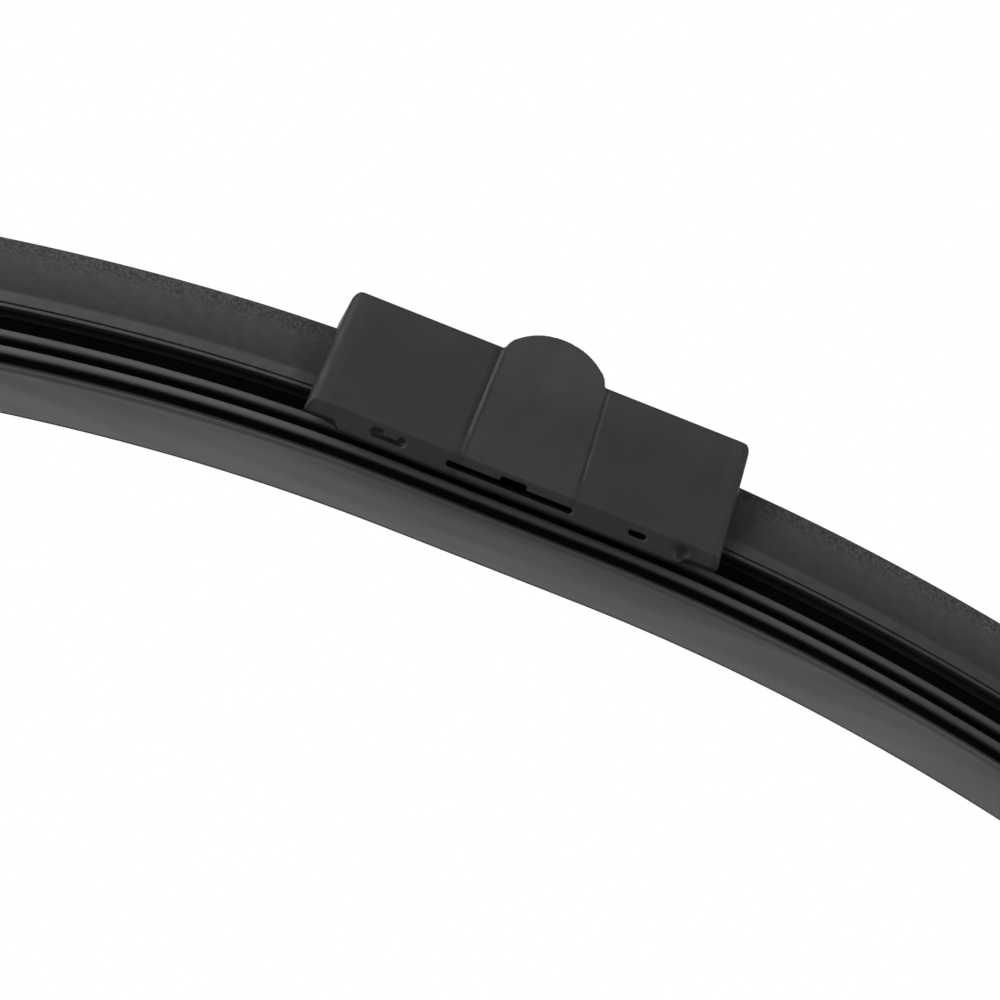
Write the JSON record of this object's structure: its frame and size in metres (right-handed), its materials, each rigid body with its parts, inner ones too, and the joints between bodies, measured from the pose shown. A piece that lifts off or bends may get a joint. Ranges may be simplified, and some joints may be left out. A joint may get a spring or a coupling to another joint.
{
  "type": "wiper blade",
  "caption": "Flat beam wiper blade with sprung rails, spoilers, wiping rubber and a central connector whose adapter takes a hooked wiper arm.",
  "frame": {"origin": "middle of the pivot pin in the connector, where the arm's adapter turns", "axes": "+X along the blade towards the adapter's tail, +Y across the blade, +Z away from the windscreen"},
  "size_m": [0.503, 0.017, 0.0952],
  "materials": {
    "rubber": "matt, slightly grey",
    "spoiler": "fine grained",
    "steel": "black coated spring steel",
    "plastic": "fine spark-eroded grain",
    "pin": "bright ground steel"
  },
  "bodies": {
    "adapter": {"arm_adapter": "plastic"},
    "blade": {"connector_housing": "plastic", "pivot_pin": "pin", "wiping_rubber": "rubber", "rail_front": "steel", "rail_rear": "steel", "spoiler_left": "spoiler", "spoiler_right": "spoiler", "end_cap_left": "plastic", "end_cap_right": "plastic"}
  },
  "joints": [
    {"name": "blade_pivot", "type": "hinge", "parent": "adapter", "child": "blade", "pos_m": [0, 0, 0], "axis": [0, 1, 0], "range_deg": [-10, 52]}
  ]
}
